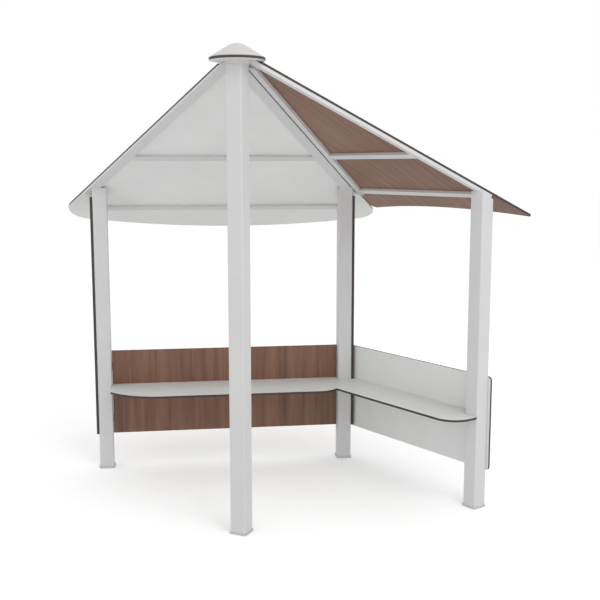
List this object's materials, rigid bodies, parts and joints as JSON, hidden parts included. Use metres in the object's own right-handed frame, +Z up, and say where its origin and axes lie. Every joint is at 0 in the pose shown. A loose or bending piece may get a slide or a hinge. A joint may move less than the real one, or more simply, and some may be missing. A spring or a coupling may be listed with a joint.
{
  "type": "garden gazebo",
  "caption": "Open corner gazebo: square steel posts, two sloping board roofs meeting under a round cap, and a bench with low backrests along two sides.",
  "frame": {"origin": "the front post's axis on the floor, under its foot plate", "axes": "+X along the line from the left post to the back post, +Y away from the front post towards that line, +Z up"},
  "size_m": [2.7085, 1.8988, 2.6059],
  "materials": {
    "frame_steel": "satin light grey powder coat on square steel tube and flat bar",
    "foot_steel": "satin light grey powder coat on steel plate",
    "bracket_steel": "satin light grey powder coat on folded steel",
    "light_board": "matt light grey compact laminate with a dark core",
    "wood_board": "matt walnut-decor compact laminate with a dark core",
    "cap_board": "matt light grey compact laminate with a dark core",
    "cap_dome": "satin light grey powder coat on spun steel"
  },
  "bodies": {
    "root": {"post_front": "frame_steel", "post_left": "frame_steel", "post_back": "frame_steel", "post_right": "frame_steel", "foot_front": "foot_steel", "foot_left": "foot_steel", "foot_back": "foot_steel", "foot_right": "foot_steel", "head_plate_left": "frame_steel", "head_plate_back": "frame_steel", "head_plate_right": "frame_steel", "cap_collar": "frame_steel", "cap_disc": "cap_board", "cap_dome": "cap_dome", "roof_board_left": "light_board", "roof_board_right": "wood_board", "rafter_left": "frame_steel", "rafter_hip_left": "frame_steel", "rafter_hip_right": "frame_steel", "rafter_right": "frame_steel", "rail_left_upper": "frame_steel", "rail_left_lower": "frame_steel", "rail_right_upper": "frame_steel", "rail_right_lower": "frame_steel", "backrest_left": "wood_board", "backrest_right": "light_board", "backrest_lugs_left": "bracket_steel", "backrest_lugs_back": "bracket_steel", "backrest_bracket": "bracket_steel", "seat_left": "light_board", "seat_right": "light_board", "seat_frame_left": "bracket_steel", "seat_frame_right": "bracket_steel", "side_board_left": "wood_board", "side_board_back": "wood_board"}
  },
  "joints": []
}
